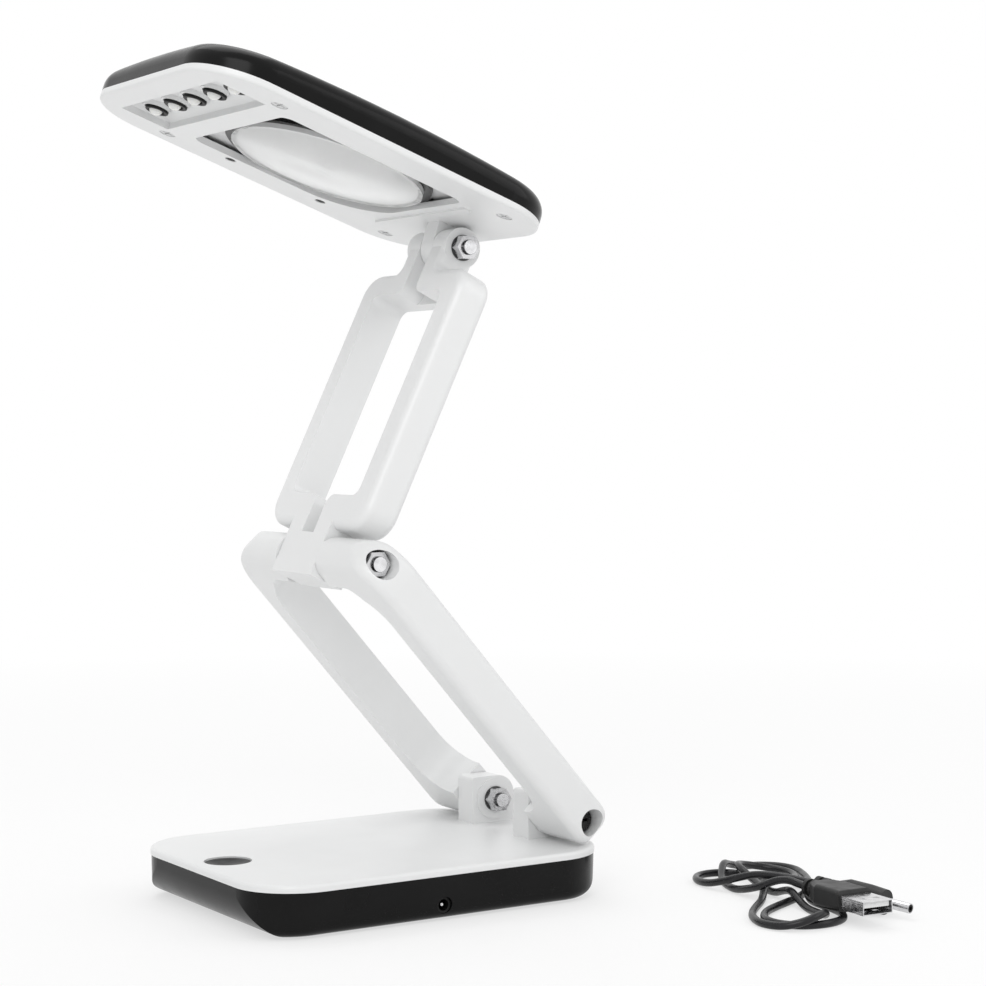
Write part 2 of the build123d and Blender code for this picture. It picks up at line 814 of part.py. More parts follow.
lead_points = [
    (5.4, -7.6, 6.6), (2.5, -4.8, 6.9), (-1.1, -1.4, 7.3), (-5.4, 2.3, 7.4), (-9.8, 5.0, 7.5),
    (-14.8, 7.4, 7.2), (-20.0, 9.8, 5.6), (-25.0, 13.4, 3.6), (-29.8, 18.9, 1.8), (-32.9, 25.7, 1.4),
    (-32.9, 33.0, 1.4), (-29.1, 38.6, 1.4), (-22.8, 40.8, 1.4), (-15.9, 38.7, 1.4),
    (-10.9, 32.3, 1.4), (-8.6, 24.5, 1.6), (-8.9, 16.8, 4.0), (-10.0, 10.9, 5.2), (-11.1, 5.0, 3.8),
    (-12.3, -1.8, 1.5), (-13.9, -10.5, 1.4), (-16.6, -19.1, 1.4), (-18.9, -27.7, 1.4),
    (-19.8, -36.4, 1.4), (-17.9, -45.8, 1.4), (-11.8, -51.4, 1.6), (-5.6, -52.5, 3.0),
    (-0.3, -50.3, 4.6), (3.2, -45.3, 4.9), (4.6, -38.4, 2.5), (2.7, -29.5, 1.4), (0.0, -21.4, 1.4),
    (-2.0, -15.0, 3.4), (-3.6, -9.3, 5.0), (-5.5, -3.2, 3.6), (-7.5, 3.6, 1.4), (-10.7, 12.7, 1.4),
    (-13.4, 23.6, 2.4), (-16.0, 27.5, 4.6), (-17.3, 32.4, 5.3), (-17.2, 37.6, 5.0),
    (-15.3, 42.4, 4.1), (-11.4, 45.6, 3.1), (-6.4, 46.5, 2.2), (-1.6, 44.8, 1.6), (1.9, 41.0, 1.4),
    (3.3, 36.0, 1.4), (3.3, 30.8, 1.4), (2.6, 25.6, 1.5), (1.6, 20.5, 1.4), (2.3, 12.3, 3.4),
    (3.1, 4.5, 5.5), (3.0, -1.8, 4.2), (3.0, -7.3, 1.5), (4.1, -12.7, 1.4), (6.4, -18.2, 1.4),
    (9.3, -24.1, 1.4), (11.1, -30.9, 1.4), (10.7, -38.2, 1.4), (7.0, -44.1, 1.4), (1.4, -48.0, 1.4),
    (-5.2, -49.3, 1.4), (-11.6, -46.8, 1.4), (-15.5, -41.4, 1.4), (-15.9, -34.1, 1.4),
    (-13.9, -26.4, 1.4), (-9.8, -19.1, 1.4), (-5.0, -11.8, 1.4), (-0.9, -5.2, 1.4), (2.7, 2.5, 1.4),
    (5.5, 10.5, 1.4), (6.8, 19.5, 1.4), (7.3, 28.6, 1.4), (6.7, 37.3, 1.4), (5.4, 46.1, 1.4),
    (0.3, 52.6, 1.4), (-7.3, 54.4, 1.4), (-14.1, 52.5, 1.4), (-19.3, 47.0, 3.2), (-22.0, 40.2, 5.2),
    (-23.4, 33.0, 3.4), (-23.9, 25.7, 1.4), (-23.0, 17.7, 1.4), (-20.9, 10.0, 1.4),
    (-17.5, 3.0, 2.9), (-13.2, -3.0, 5.1), (-8.1, -6.3, 7.9), (-4.0, -8.2, 8.4), (-0.8, -10.9, 7.3),
    (1.4, -15.0, 7.3),
]


def lead_place():
    return Pos(lead_centre_x, lead_centre_y, 0) * Rot(0, 0, lead_turn)


def lead_bends():
    corners = [Vector(*p) for p in lead_points]
    radii = []
    for before, here, after in zip(corners, corners[1:], corners[2:]):
        turn = (here - before).get_angle(after - here)
        shorter = min((here - before).length, (after - here).length)
        radii.append(lead_bend_share * shorter / tan(radians(turn / 2)))
    return corners, radii


def lead_gap(path):
    count = int(path.length)
    points = [path @ (i / count) for i in range(count + 1)]
    apart = int(8 * lead_radius)
    gap = min((a - b).length for i, a in enumerate(points) for b in points[i + apart:])
    return gap - 2 * lead_radius


def charging_cable():
    corners, radii = lead_bends()
    path = FilletPolyline(*corners, radius=radii)
    end = Plane(origin=path @ 0, z_dir=path % 0) * Circle(lead_radius)
    cable = sweep(end.face(), path)
    section = pi * lead_radius ** 2
    print("least bend radius", round(min(radii), 1), "of diameter", 2 * lead_radius)
    print("length", round(path.length, 1), "volume over section times length",
          round(cable.volume / (section * path.length), 5))
    print("least gap to itself", round(lead_gap(path), 2))
    return lead_place() * cable


def plug_plane(end, inner):
    start = Vector(*lead_points[end])
    before = Vector(*lead_points[inner])
    away = start - before
    return Plane(origin=start, x_dir=(away.Y, -away.X, 0), z_dir=away)


def turned(profile):
    face = make_face(Polyline(*profile, close=True))
    return revolve(Plane.XZ * face, Axis.Z)


def ribbed_relief(length, radius, rib_radius, count, rib_length):
    relief = Pos(0, 0, length / 2) * Cylinder(radius, length)
    step = length / count
    for i in range(count):
        relief += Pos(0, 0, (i + 0.5) * step) * Cylinder(rib_radius, rib_length)
    return relief


def dc_plug_body():
    body = ribbed_relief(dc_relief_length, dc_relief_radius, dc_rib_radius, dc_rib_count, dc_rib_length)
    start = dc_relief_length
    end = start + dc_body_length
    body += turned([(0, start), (dc_rib_radius, start), (dc_body_radius, start + dc_shoulder_length),
                    (dc_body_radius, end - dc_taper_length), (dc_front_radius, end), (0, end)])
    return lead_place() * (plug_plane(0, 1) * body)


def dc_barrel():
    start = dc_relief_length + dc_body_length
    barrel = Pos(0, 0, start + dc_barrel_length / 2) * Cylinder(dc_barrel_radius, dc_barrel_length)
    hollow = Cylinder(dc_barrel_radius - dc_barrel_wall, 2 * dc_barrel_length)
    return lead_place() * (plug_plane(0, 1) * (barrel - Pos(0, 0, start) * hollow))


def dc_tip_insulator():
    start = dc_relief_length + dc_body_length
    core = Cylinder(dc_barrel_radius - dc_barrel_wall, dc_barrel_length)
    core = Pos(0, 0, start + dc_barrel_length / 2) * core
    core -= Pos(0, 0, start + dc_barrel_length) * Cylinder(dc_bore_radius, 2 * dc_bore_depth)
    return lead_place() * (plug_plane(0, 1) * core)


def usb_plug_body():
    body = ribbed_relief(usb_relief_length, usb_relief_radius, usb_rib_radius, usb_rib_count, usb_rib_length)
    start = usb_relief_length
    shoulder = start + usb_shoulder_length
    end = start + usb_body_length
    plan = Polyline((-usb_shoulder_half_width, start), (-usb_half_width, shoulder), (-usb_half_width, end),
                    (usb_half_width, end), (usb_half_width, shoulder), (usb_shoulder_half_width, start),
                    close=True)
    block = extrude(Plane.XZ * make_face(plan), usb_thickness / 2, both=True)
    flats = block.faces().filter_by(Axis.Y)
    block = fillet([edge for flat in flats for edge in flat.edges()], usb_edge_round)
    return lead_place() * (plug_plane(-1, -2) * (body + block))


def usb_shell():
    start = usb_relief_length + usb_body_length
    middle = start + usb_shell_length / 2
    shell = Box(usb_shell_width, usb_shell_height, usb_shell_length)
    wall = 2 * usb_shell_wall
    shell -= Box(usb_shell_width - wall, usb_shell_height - wall, 2 * usb_shell_length)
    rise = usb_shell_length / 2 - usb_window_end
    for side in (-1, 1):
        window = Box(usb_window_width, 2 * usb_shell_height, usb_window_length)
        shell -= Pos(side * usb_window_side, 0, rise) * window
    return lead_place() * (plug_plane(-1, -2) * (Pos(0, 0, middle) * shell))


def usb_tongue():
    start = usb_relief_length + usb_body_length
    length = usb_shell_length - usb_tongue_back
    low = usb_shell_wall - usb_shell_height / 2
    width = usb_shell_width - 2 * usb_shell_wall - 2 * usb_tongue_gap
    tongue = Box(width, usb_tongue_height, length)
    place = Pos(0, low + usb_tongue_height / 2, start + length / 2)
    return lead_place() * (plug_plane(-1, -2) * (place * tongue))


materials = {
    "white": (0.93, 0.93, 0.92),
    "black": (0.03, 0.03, 0.03),
    "steel": (0.7, 0.7, 0.72),
    "glass": (0.8, 0.9, 0.95),
    "board": (0.1, 0.35, 0.15),
    "battery": (0.3, 0.35, 0.6),
    "led": (0.95, 0.95, 0.85),
}


def build():
    nodes = {}
    nodes["base_tub"] = (base_tub(), "black")
    nodes["base_top_plate"] = (base_top_plate(), "white")
    for i, (x, y) in enumerate(foot_places()):
        nodes[f"foot_pad_{i + 1}"] = (foot_pad(x, y), "black")
    for i, (x, y) in enumerate(base_post_places()):
        nodes[f"base_screw_{i + 1}"] = (base_screw(x, y), "steel")
    nodes["power_button"] = (power_button(), "black")
    nodes["push_switch"] = (push_switch(), "black")
    nodes["circuit_board"] = (circuit_board(), "board")
    nodes["battery"] = (battery(), "battery")
    nodes["dc_jack"] = (dc_jack(), "black")
    nodes["lower_arm"] = (lower_arm(), "white")
    nodes["upper_arm"] = (upper_arm(), "white")
    nodes["head_panel"] = (head_panel(), "white")
    nodes["head_cover"] = (head_cover(), "black")
    nodes["magnifier_lens"] = (magnifier_lens(), "glass")
    nodes["led_tray"] = (led_tray(), "white")
    nodes["led_board"] = (led_board(), "board")
    for i, y in enumerate(led_places()):
        nodes[f"led_lamp_{i + 1}"] = (led_lamp(y), "led")
    for i, (x, y) in enumerate(head_screw_places()):
        nodes[f"head_screw_{i + 1}"] = (head_screw(x, y), "steel")
    nodes.update(hinge_fasteners())
    nodes["charging_cable"] = (charging_cable(), "black")
    nodes["dc_plug_body"] = (dc_plug_body(), "black")
    nodes["dc_barrel"] = (dc_barrel(), "steel")
    nodes["dc_tip_insulator"] = (dc_tip_insulator(), "black")
    nodes["usb_plug_body"] = (usb_plug_body(), "black")
    nodes["usb_shell"] = (usb_shell(), "steel")
    nodes["usb_tongue"] = (usb_tongue(), "white")
    return nodes


def main():
    os.makedirs("parts", exist_ok=True)
    low_x = []
    high_x = []
    for node, (shape, slot) in build().items():
        save(shape, node, materials[slot])
        print(node, round(shape.volume, 1), len(shape.solids()), shape.is_valid)
        if not node.startswith(("charging", "dc_plug", "dc_barrel", "dc_tip", "usb")):
            low_x.append(shape.bounding_box().min.X)
            high_x.append(shape.bounding_box().max.X)
    print("middle of the lamp along X", round((min(low_x) + max(high_x)) / 2 + lamp_x, 3))


main()
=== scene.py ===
import math

import bmesh
import bpy
from mathutils import Matrix, Vector


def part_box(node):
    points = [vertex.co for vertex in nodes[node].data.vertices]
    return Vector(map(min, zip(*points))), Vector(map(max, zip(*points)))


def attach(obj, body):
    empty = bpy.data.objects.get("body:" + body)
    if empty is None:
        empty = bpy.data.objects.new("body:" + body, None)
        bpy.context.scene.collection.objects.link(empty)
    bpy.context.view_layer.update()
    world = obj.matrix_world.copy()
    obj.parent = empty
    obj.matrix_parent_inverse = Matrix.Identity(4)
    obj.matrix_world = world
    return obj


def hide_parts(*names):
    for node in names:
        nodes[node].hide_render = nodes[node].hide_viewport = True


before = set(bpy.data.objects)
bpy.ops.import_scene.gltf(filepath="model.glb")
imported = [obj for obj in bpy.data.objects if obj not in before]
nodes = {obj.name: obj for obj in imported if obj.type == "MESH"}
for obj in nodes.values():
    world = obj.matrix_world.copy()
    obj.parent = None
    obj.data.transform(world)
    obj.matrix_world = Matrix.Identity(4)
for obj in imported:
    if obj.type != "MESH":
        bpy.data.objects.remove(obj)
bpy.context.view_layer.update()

bl_info = {
    "name": "Folding Magnifier Desk Lamp",
    "version": (1, 0, 0),
    "blender": (4, 5, 0),
    "location": "View3D > Sidebar > Desk Lamp",
    "description": "Dresses a folding desk lamp with a lens in its head, and its charging lead",
    "category": "Object",
}

mm = 0.001

# How far the lamp's own plan is shifted along X in the shared frame
lamp_x = 6.8 * mm

# The photograph's camera. Its angles are azimuth, elevation and roll, in degrees.
camera_angles = (-32.1699, 1.99, -0.39)
camera_place = Vector((-401.76 * mm + lamp_x, -722.19 * mm, 171.10 * mm))
camera_sensor_width = 36.0
camera_focal_length = 85.65

# Area lights: name, place in metres, side in metres, power in watts
light_panels = (
    ("key panel", (-0.75, -0.95, 0.95), 0.9, 7.0),
    ("fill panel", (0.95, -0.75, 0.7), 0.8, 2.2),
    ("top panel", (0.1, 0.35, 1.2), 0.9, 4.0),
)
light_target = Vector((0.0, 0.0, 0.13))

# The world's strength on the object, and where it is seen directly
daylight_strength = 0.62
backdrop_strength = 1.0

# Half the floor's side, and the distances from the lamp between which its glow grows from a
# share of white to white, in metres
floor_half = 6.0
floor_near_glow = 0.62
floor_fade = (0.30, 0.85)

# Hinge fasteners: name, the body its nut is on, and which way along Y its thread points
hinge_lines = (
    ("base_hinge_near", "base", 1),
    ("base_hinge_far", "base", -1),
    ("middle_hinge", "lower_link", -1),
    ("tilt_hinge", "upper_link", -1),
)

# Centres of the two sensor holes in the head's own frame, and the outline that each window is
# turned from, as radius and height, in millimetres
sensor_places = ((-72.0, 39.5), (-33.6, 39.5))
sensor_outline = ((0.02, 8.3), (1.0, 8.32), (1.7, 8.42), (1.95, 8.6), (1.95, 10.4), (0.02, 10.4))

# The lead's route in its own plan, in millimetres, as its solid follows it
lead_route = [
    (5.4, -7.6, 6.6), (2.5, -4.8, 6.9), (-1.1, -1.4, 7.3), (-5.4, 2.3, 7.4), (-9.8, 5.0, 7.5),
    (-14.8, 7.4, 7.2), (-20.0, 9.8, 5.6), (-25.0, 13.4, 3.6), (-29.8, 18.9, 1.8), (-32.9, 25.7, 1.4),
    (-32.9, 33.0, 1.4), (-29.1, 38.6, 1.4), (-22.8, 40.8, 1.4), (-15.9, 38.7, 1.4),
    (-10.9, 32.3, 1.4), (-8.6, 24.5, 1.6), (-8.9, 16.8, 4.0), (-10.0, 10.9, 5.2), (-11.1, 5.0, 3.8),
    (-12.3, -1.8, 1.5), (-13.9, -10.5, 1.4), (-16.6, -19.1, 1.4), (-18.9, -27.7, 1.4),
    (-19.8, -36.4, 1.4), (-17.9, -45.8, 1.4), (-11.8, -51.4, 1.6), (-5.6, -52.5, 3.0),
    (-0.3, -50.3, 4.6), (3.2, -45.3, 4.9), (4.6, -38.4, 2.5), (2.7, -29.5, 1.4), (0.0, -21.4, 1.4),
    (-2.0, -15.0, 3.4), (-3.6, -9.3, 5.0), (-5.5, -3.2, 3.6), (-7.5, 3.6, 1.4), (-10.7, 12.7, 1.4),
    (-13.4, 23.6, 2.4), (-16.0, 27.5, 4.6), (-17.3, 32.4, 5.3), (-17.2, 37.6, 5.0),
    (-15.3, 42.4, 4.1), (-11.4, 45.6, 3.1), (-6.4, 46.5, 2.2), (-1.6, 44.8, 1.6), (1.9, 41.0, 1.4),
    (3.3, 36.0, 1.4), (3.3, 30.8, 1.4), (2.6, 25.6, 1.5), (1.6, 20.5, 1.4), (2.3, 12.3, 3.4),
    (3.1, 4.5, 5.5), (3.0, -1.8, 4.2), (3.0, -7.3, 1.5), (4.1, -12.7, 1.4), (6.4, -18.2, 1.4),
    (9.3, -24.1, 1.4), (11.1, -30.9, 1.4), (10.7, -38.2, 1.4), (7.0, -44.1, 1.4), (1.4, -48.0, 1.4),
    (-5.2, -49.3, 1.4), (-11.6, -46.8, 1.4), (-15.5, -41.4, 1.4), (-15.9, -34.1, 1.4),
    (-13.9, -26.4, 1.4), (-9.8, -19.1, 1.4), (-5.0, -11.8, 1.4), (-0.9, -5.2, 1.4), (2.7, 2.5, 1.4),
    (5.5, 10.5, 1.4), (6.8, 19.5, 1.4), (7.3, 28.6, 1.4), (6.7, 37.3, 1.4), (5.4, 46.1, 1.4),
    (0.3, 52.6, 1.4), (-7.3, 54.4, 1.4), (-14.1, 52.5, 1.4), (-19.3, 47.0, 3.2), (-22.0, 40.2, 5.2),
    (-23.4, 33.0, 3.4), (-23.9, 25.7, 1.4), (-23.0, 17.7, 1.4), (-20.9, 10.0, 1.4),
    (-17.5, 3.0, 2.9), (-13.2, -3.0, 5.1), (-8.1, -6.3, 7.9), (-4.0, -8.2, 8.4), (-0.8, -10.9, 7.3),
    (1.4, -15.0, 7.3),
]
lead_centre = Vector((121.7 * mm + lamp_x, -88.3 * mm, 0.0))
lead_turn = math.radians(-32.2)


class LampSizes(bpy.types.PropertyGroup):
    """Sizes of the dressed pieces"""

    lead_diameter: bpy.props.FloatProperty(
        name="Lead diameter", description="Thickness of the charging lead", default=2.7 * mm,
        min=1.5 * mm, max=6.0 * mm, unit="LENGTH")
    lead_length: bpy.props.FloatProperty(
        name="Lead length", description="Length of the lead between its two plugs", default=0.62,
        min=0.2, max=2.0, unit="LENGTH")
    head_tilt: bpy.props.FloatProperty(
        name="Head slope", description="Slope of the head's face", default=math.radians(20.3),
        subtype="ANGLE")
    lamp_count: bpy.props.IntProperty(
        name="Lamp count", description="Lamps in a row across the head's tip", default=5, min=2, max=5)
    ring_inner: bpy.props.FloatProperty(
        name="Lamp ring bore", description="Inner radius of the dark ring round each lamp",
        default=2.68 * mm, unit="LENGTH")
    ring_outer: bpy.props.FloatProperty(
        name="Lamp ring radius", description="Outer radius of the dark ring round each lamp",
        default=4.1 * mm, unit="LENGTH")
    well_radius: bpy.props.FloatProperty(
        name="Lens well radius", description="Outer radius of the white lining round the lens",
        default=32.95 * mm, unit="LENGTH")
    thread_pitch: bpy.props.FloatProperty(
        name="Thread pitch", description="Pitch of the thread on the hinge bolts", default=0.4 * mm,
        unit="LENGTH")
    thread_turns: bpy.props.IntProperty(
        name="Thread turns", description="Turns of thread that show past each nut", default=3,
        min=1, max=6)
    grain_depth: bpy.props.FloatProperty(
        name="Grain depth", description="Depth of the fine grain on the mouldings",
        default=0.02 * mm, unit="LENGTH")


class LampColours(bpy.types.PropertyGroup):
    """Colours of the dressed pieces"""

    white_shell: bpy.props.FloatVectorProperty(
        name="White shell", description="White mouldings", subtype="COLOR", size=3,
        default=(0.80, 0.805, 0.805), min=0.0, max=1.0)
    black_shell: bpy.props.FloatVectorProperty(
        name="Black shell", description="Polished black mouldings", subtype="COLOR", size=3,
        default=(0.0045, 0.0045, 0.0045), min=0.0, max=1.0)
    lead: bpy.props.FloatVectorProperty(
        name="Lead", description="Sheath of the charging lead", subtype="COLOR", size=3,
        default=(0.006, 0.006, 0.007), min=0.0, max=1.0)
    lens: bpy.props.FloatVectorProperty(
        name="Lens", description="Tint of the lens", subtype="COLOR", size=3,
        default=(0.985, 0.99, 0.99), min=0.0, max=1.0)
    lamp: bpy.props.FloatVectorProperty(
        name="Lamps", description="Milky resin of the lamps", subtype="COLOR", size=3,
        default=(0.86, 0.86, 0.84), min=0.0, max=1.0)
    metal: bpy.props.FloatVectorProperty(
        name="Bright metal", description="Zinc and nickel finishes", subtype="COLOR", size=3,
        default=(0.62, 0.62, 0.63), min=0.0, max=1.0)


def sizes():
    return bpy.context.scene.lamp_sizes


def colours():
    return bpy.context.scene.lamp_colours


# Material building. Patterns follow Object coordinates, in metres.

class Finish:
    """One material under construction"""

    def __init__(self, name, colour, roughness, metallic=0.0):
        self.material = bpy.data.materials.new(name)
        self.material.use_nodes = True
        self.tree = self.material.node_tree
        self.shader = self.tree.nodes["Principled BSDF"]
        self.shader.inputs["Base Color"].default_value = (*colour, 1.0)
        self.shader.inputs["Roughness"].default_value = roughness
        self.shader.inputs["Metallic"].default_value = metallic
        self.place = self.tree.nodes.new("ShaderNodeTexCoord").outputs["Object"]
        self.last_bump = None

    def set(self, name, value):
        self.shader.inputs[name].default_value = value
        return self

    def noise(self, size, stretch=None):
        place = self.place
        if stretch:
            mapping = self.tree.nodes.new("ShaderNodeMapping")
            mapping.inputs["Scale"].default_value = stretch
            self.tree.links.new(place, mapping.inputs["Vector"])
            place = mapping.outputs["Vector"]
        node = self.tree.nodes.new("ShaderNodeTexNoise")
        node.inputs["Scale"].default_value = 1.0 / size
        node.inputs["Detail"].default_value = 4.0
        self.tree.links.new(place, node.inputs["Vector"])
        return node.outputs["Fac"]

    def spread(self, value, low, high, from_low=0.3, from_high=0.7):
        node = self.tree.nodes.new("ShaderNodeMapRange")
        node.inputs["From Min"].default_value = from_low
        node.inputs["From Max"].default_value = from_high
        node.inputs["To Min"].default_value = low
        node.inputs["To Max"].default_value = high
        self.tree.links.new(value, node.inputs["Value"])
        return node.outputs["Result"]

    def vary_roughness(self, size, low, high, stretch=None):
        value = self.spread(self.noise(size, stretch), low, high)
        self.tree.links.new(value, self.shader.inputs["Roughness"])
        return self

    def vary_colour(self, size, first, second, low=0.3, high=0.7):
        ramp = self.tree.nodes.new("ShaderNodeValToRGB")
        ramp.color_ramp.elements[0].position = low
        ramp.color_ramp.elements[0].color = (*first, 1.0)
        ramp.color_ramp.elements[1].position = high
        ramp.color_ramp.elements[1].color = (*second, 1.0)
        self.tree.links.new(self.noise(size), ramp.inputs["Fac"])
        self.tree.links.new(ramp.outputs["Color"], self.shader.inputs["Base Color"])
        return self

    def bump(self, height, depth, strength):
        node = self.tree.nodes.new("ShaderNodeBump")
        node.inputs["Strength"].default_value = strength
        node.inputs["Distance"].default_value = depth
        self.tree.links.new(height, node.inputs["Height"])
        if self.last_bump:
            self.tree.links.new(self.last_bump, node.inputs["Normal"])
        self.last_bump = node.outputs["Normal"]
        self.tree.links.new(self.last_bump, self.shader.inputs["Normal"])
        return self

    def grain(self, size, depth, strength):
        return self.bump(self.noise(size), depth, strength)

    def turned(self, axis, half_wave, depth, strength):
        """Turning marks across one axis. Half a wave is the way from a ridge to the next groove."""
        radians_per_unit = 20.0
        wave = self.tree.nodes.new("ShaderNodeTexWave")
        wave.wave_type = "BANDS"
        wave.bands_direction = axis
        wave.inputs["Scale"].default_value = 1.0 / half_wave / radians_per_unit * math.pi
        wave.inputs["Distortion"].default_value = 0.6
        self.tree.links.new(self.place, wave.inputs["Vector"])
        return self.bump(wave.outputs["Fac"], depth, strength)


def shade(colour, share):
    return tuple(max(0.0, min(1.0, part * share)) for part in colour)


def moulded_white(name, share=1.0):
    tone = shade(colours().white_shell, share)
    finish = Finish(name, tone, 0.38)
    finish.set("Coat Weight", 0.25).set("Coat Roughness", 0.22).set("Specular IOR Level", 0.45)
    finish.vary_colour(22 * mm, shade(tone, 0.985), tone)
    finish.vary_roughness(14 * mm, 0.34, 0.44)
    finish.grain(0.5 * mm, sizes().grain_depth, 0.25)
    finish.grain(9.0 * mm, 0.06 * mm, 0.35)
    return finish.material


def polished_black(name):
    tone = colours().black_shell
    finish = Finish(name, tone, 0.2)
    finish.set("Specular IOR Level", 0.14)
    finish.vary_colour(18 * mm, shade(tone, 0.85), shade(tone, 1.3))
    finish.vary_roughness(11 * mm, 0.16, 0.26)
    finish.grain(12.0 * mm, 0.05 * mm, 0.3)
    finish.grain(0.35 * mm, 0.004 * mm, 0.2)
    return finish.material


def satin_black(name, share=1.6, gloss=0.2):
    tone = shade(colours().black_shell, share)
    finish = Finish(name, tone, 0.42)
    finish.set("Specular IOR Level", gloss)
    finish.vary_colour(6 * mm, shade(tone, 0.8), shade(tone, 1.3))
    finish.vary_roughness(4 * mm, 0.36, 0.5)
    finish.grain(0.4 * mm, 0.02 * mm, 0.5)
    return finish.material


def foot_rubber():
    finish = Finish("foot rubber", (0.012, 0.012, 0.012), 0.75)
    finish.set("Specular IOR Level", 0.3)
    finish.vary_colour(1.5 * mm, (0.009, 0.009, 0.009), (0.018, 0.018, 0.018))
    finish.grain(0.25 * mm, 0.05 * mm, 0.8)
    return finish.material


def lead_sheath():
    tone = colours().lead
    finish = Finish("lead sheath", tone, 0.3)
    finish.set("Specular IOR Level", 0.3).set("Coat Weight", 0.08).set("Coat Roughness", 0.2)
    finish.vary_colour(5 * mm, tone, shade(tone, 1.7))
    finish.vary_roughness(3 * mm, 0.24, 0.38)
    finish.grain(0.6 * mm, 0.02 * mm, 0.4)
    return finish.material


def bright_metal(name, axis, share, roughness):
    tone = shade(colours().metal, share)
    finish = Finish(name, tone, roughness, 1.0)
    finish.vary_colour(2.5 * mm, shade(tone, 0.82), shade(tone, 1.08))
    finish.vary_roughness(1.6 * mm, roughness - 0.06, roughness + 0.12)
    finish.turned(axis, 0.35 * mm, 0.01 * mm, 0.6)
    finish.grain(0.3 * mm, 0.008 * mm, 0.4)
    return finish.material


def dark_metal():
    finish = Finish("base screws", (0.045, 0.045, 0.047), 0.4, 1.0)
    finish.vary_colour(1.2 * mm, (0.03, 0.03, 0.032), (0.07, 0.07, 0.073))
    finish.grain(0.3 * mm, 0.012 * mm, 0.5)
    return finish.material


def coated_screw():
    tone = shade(colours().white_shell, 0.86)
    finish = Finish("white coated screws", tone, 0.34)
    finish.vary_colour(1.0 * mm, shade(tone, 0.86), tone)
    finish.grain(0.3 * mm, 0.012 * mm, 0.4)
    return finish.material


def lens_resin():
    finish = Finish("lens resin", colours().lens, 0.12)
    finish.set("Transmission Weight", 0.72).set("IOR", 1.49).set("Specular IOR Level", 0.3)
    finish.vary_roughness(26 * mm, 0.08, 0.22, (1.0, 0.35, 1.0))
    finish.grain(16.0 * mm, 0.02 * mm, 0.15)
    return finish.material


def lamp_resin():
    tone = colours().lamp
    finish = Finish("lamp resin", tone, 0.12)
    finish.set("Subsurface Weight", 0.25).set("Subsurface Radius", (1.2 * mm, 1.2 * mm, 1.0 * mm))
    finish.set("Coat Weight", 0.5).set("Coat Roughness", 0.05)
    finish.vary_colour(2.2 * mm, shade(tone, 0.94), tone)
    return finish.material


def green_board():
    finish = Finish("circuit board", (0.02, 0.12, 0.04), 0.35)
    finish.vary_colour(2.0 * mm, (0.016, 0.10, 0.034), (0.03, 0.16, 0.055), 0.42, 0.5)
    finish.grain(0.8 * mm, 0.03 * mm, 0.4)
    return finish.material


def battery_sleeve():
    finish = Finish("battery sleeve", (0.05, 0.08, 0.22), 0.3)
    finish.vary_colour(9 * mm, (0.04, 0.065, 0.19), (0.065, 0.10, 0.26))
    finish.grain(3.0 * mm, 0.12 * mm, 0.5)
    return finish.material


def dress(names, material):
    for name in names:
        node = nodes[name]
        node.data.materials.clear()
        node.data.materials.append(material)


def numbered(stem, count):
    return [f"{stem}_{i + 1}" for i in range(count)]


def hinge_pieces(kind):
    return [f"{line}_{kind}" for line, body, way in hinge_lines]


def new_object(name, data):
    made = bpy.data.objects.new(name, data)
    bpy.context.scene.collection.objects.link(made)
    return made


# Repeated pieces, made with Geometry Nodes and then turned into plain meshes

def repeat_tree(name, material):
    """Copies of one small piece, evenly spaced along a line, given one material"""
    tree = bpy.data.node_groups.new(name, "GeometryNodeTree")
    for label, kind in (("Geometry", "NodeSocketGeometry"), ("Piece", "NodeSocketObject"),
                        ("Count", "NodeSocketInt"), ("Start", "NodeSocketVector"),
                        ("Step", "NodeSocketVector")):
        tree.interface.new_socket(name=label, in_out="INPUT", socket_type=kind)
    tree.interface.new_socket(name="Geometry", in_out="OUTPUT", socket_type="NodeSocketGeometry")
    given = tree.nodes.new("NodeGroupInput")
    out = tree.nodes.new("NodeGroupOutput")
    line = tree.nodes.new("GeometryNodeMeshLine")
    line.mode = "OFFSET"
    piece = tree.nodes.new("GeometryNodeObjectInfo")
    copies = tree.nodes.new("GeometryNodeInstanceOnPoints")
    solid = tree.nodes.new("GeometryNodeRealizeInstances")
    paint = tree.nodes.new("GeometryNodeSetMaterial")
    paint.inputs["Material"].default_value = material
    link = tree.links.new
    link(given.outputs["Count"], line.inputs["Count"])
    link(given.outputs["Start"], line.inputs["Start Location"])
    link(given.outputs["Step"], line.inputs["Offset"])
    link(given.outputs["Piece"], piece.inputs["Object"])
    link(line.outputs["Mesh"], copies.inputs["Points"])
    link(piece.outputs["Geometry"], copies.inputs["Instance"])
    link(copies.outputs["Instances"], solid.inputs["Geometry"])
    link(solid.outputs["Geometry"], paint.inputs["Geometry"])
    link(paint.outputs["Geometry"], out.inputs["Geometry"])
    return tree


def repeated(name, tree, piece, count, start, step):
    maker = new_object(name + "_maker", bpy.data.meshes.new(name + "_maker"))
    modifier = maker.modifiers.new("repeat", "NODES")
    modifier.node_group = tree
    keys = {item.name: item.identifier for item in tree.interface.items_tree if item.in_out == "INPUT"}
    modifier[keys["Piece"]] = piece
    modifier[keys["Count"]] = count
    modifier[keys["Start"]] = start
    modifier[keys["Step"]] = step
    graph = bpy.context.evaluated_depsgraph_get()
    mesh = bpy.data.meshes.new_from_object(maker.evaluated_get(graph))
    made = new_object(name, mesh)
    bpy.data.objects.remove(maker)
    return made


